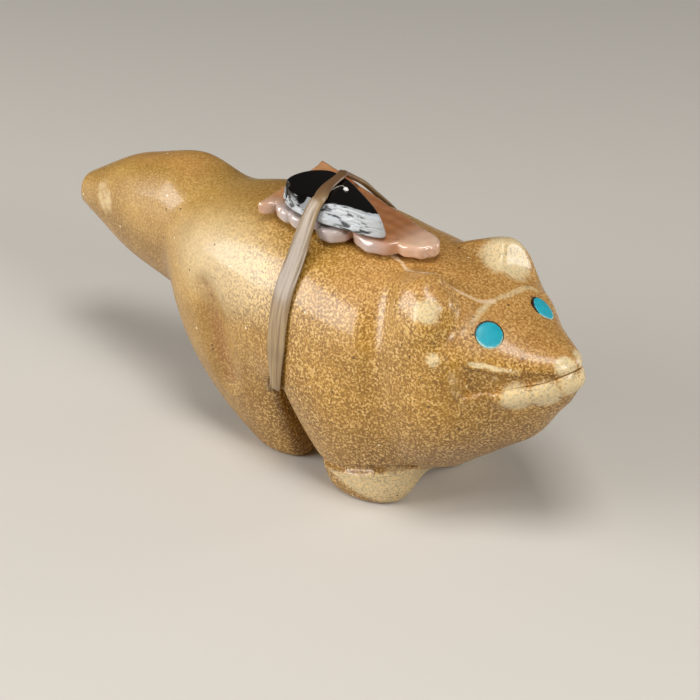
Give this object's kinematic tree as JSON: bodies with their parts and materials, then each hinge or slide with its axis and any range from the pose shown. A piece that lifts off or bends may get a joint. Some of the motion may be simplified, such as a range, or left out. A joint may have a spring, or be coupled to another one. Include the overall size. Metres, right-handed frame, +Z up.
{
  "type": "zuni fetish",
  "caption": "Carved stone animal that stands on its feet, with inlaid eyes and a shell arrowhead and black stone point tied to its back with sinew.",
  "frame": {"origin": "on the ground below the middle of the overall length and width", "axes": "+X towards the nose, +Y towards the animal's left side, +Z up"},
  "size_m": [0.0706, 0.0236, 0.033],
  "materials": {
    "stone": "polished tan stone",
    "turquoise": "polished turquoise",
    "shell": "polished pink shell",
    "black_stone": "polished black stone",
    "sinew": "waxed sinew"
  },
  "bodies": {
    "root": {"stone_body": "stone", "eye_right": "turquoise", "eye_left": "turquoise", "shell_arrowhead": "shell", "black_point": "black_stone", "sinew_tie": "sinew"}
  },
  "joints": []
}
